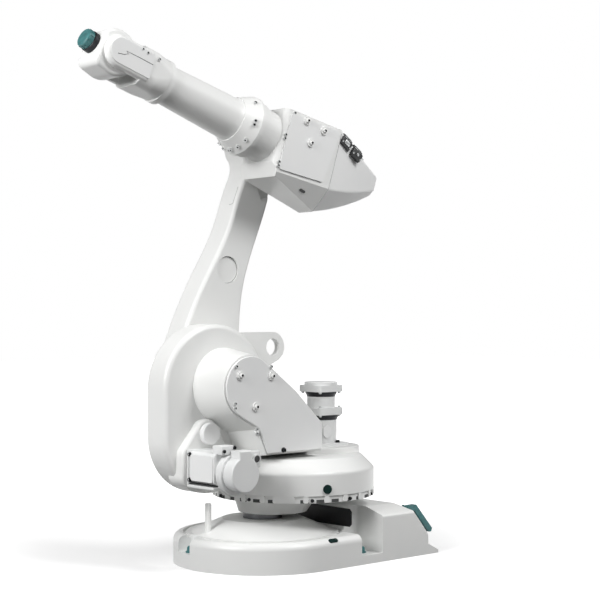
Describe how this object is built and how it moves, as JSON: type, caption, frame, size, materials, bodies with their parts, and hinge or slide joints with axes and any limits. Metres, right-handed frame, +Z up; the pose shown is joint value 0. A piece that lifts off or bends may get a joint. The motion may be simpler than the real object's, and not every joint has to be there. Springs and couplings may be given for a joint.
{
  "type": "industrial robot arm",
  "caption": "White floor-standing jointed robot arm: cast foot, turntable with motors, bowed lower arm, tubular forearm and tilting wrist with a capped tool disc.",
  "frame": {"origin": "on the first axis, on the floor", "axes": "+X forward, +Y to the robot's left, +Z up"},
  "size_m": [1.0474, 0.492, 1.3996],
  "materials": {
    "white_paint": "semi-gloss",
    "motor_paint": "satin",
    "dark_steel": "satin",
    "bare_metal": "machined",
    "teal_plastic": "matte",
    "dark_plug": "satin",
    "black_plastic": "matte"
  },
  "bodies": {
    "foot": {"foot_casting": "white_paint", "foot_bearing": "dark_steel", "stop_pin": "white_paint", "rim_plug": "dark_plug", "connector_cover": "teal_plastic"},
    "turntable": {"turntable_skirt": "white_paint", "turntable_frame": "white_paint", "lifting_lug": "white_paint", "shoulder_cover": "white_paint", "wall_cap": "white_paint", "pot_plug": "dark_plug", "motor1_body": "motor_paint", "motor1_brake": "motor_paint", "motor1_cap": "motor_paint", "motor2_box": "motor_paint", "motor2_ring": "motor_paint", "motor2_cap": "motor_paint"},
    "lower_arm": {"shoulder_hub": "dark_steel", "lower_arm": "white_paint", "arm_pad": "white_paint", "shoulder_end_cover": "white_paint", "elbow_end_cover": "white_paint"},
    "elbow": {"elbow_housing": "white_paint", "elbow_hub": "dark_steel", "elbow_rear_cover": "white_paint", "elbow_side_cover": "white_paint", "connector_plate": "bare_metal", "front_connector": "black_plastic", "rear_connector": "black_plastic"},
    "forearm": {"forearm_ring": "white_paint", "forearm_tube": "white_paint", "wrist_fork": "white_paint", "near_cheek_cover": "white_paint", "far_cheek_cover": "white_paint"},
    "wrist": {"tilt_housing": "white_paint"},
    "tool": {"turning_disc": "dark_steel", "disc_cap": "teal_plastic"}
  },
  "joints": [
    {"name": "axis_1", "type": "hinge", "parent": "foot", "child": "turntable", "pos_m": [0, 0, 0.134], "axis": [0, 0, 1], "range_deg": [-180, 180]},
    {"name": "axis_2", "type": "hinge", "parent": "turntable", "child": "lower_arm", "pos_m": [0.15, -0.076, 0.4865], "axis": [0, 1, 0], "range_deg": [-45.8, 153.2]},
    {"name": "axis_3", "type": "hinge", "parent": "lower_arm", "child": "elbow", "pos_m": [-0.057, -0.0775, 1.15519], "axis": [0, -1, 0], "range_deg": [-55.6, 234.4]},
    {"name": "axis_4", "type": "hinge", "parent": "elbow", "child": "forearm", "pos_m": [0.04298, 0, 1.18729], "axis": [0.9521, 0, 0.3057], "range_deg": [-200, 200]},
    {"name": "axis_5", "type": "hinge", "parent": "forearm", "child": "wrist", "pos_m": [0.51428, 0, 1.33861], "axis": [0, -1, 0], "range_deg": [-122.4, 107.6]},
    {"name": "axis_6", "type": "hinge", "parent": "wrist", "child": "tool", "pos_m": [0.55952, 0, 1.3599], "axis": [0.9048, 0, 0.4258], "range_deg": [-400, 400]}
  ]
}
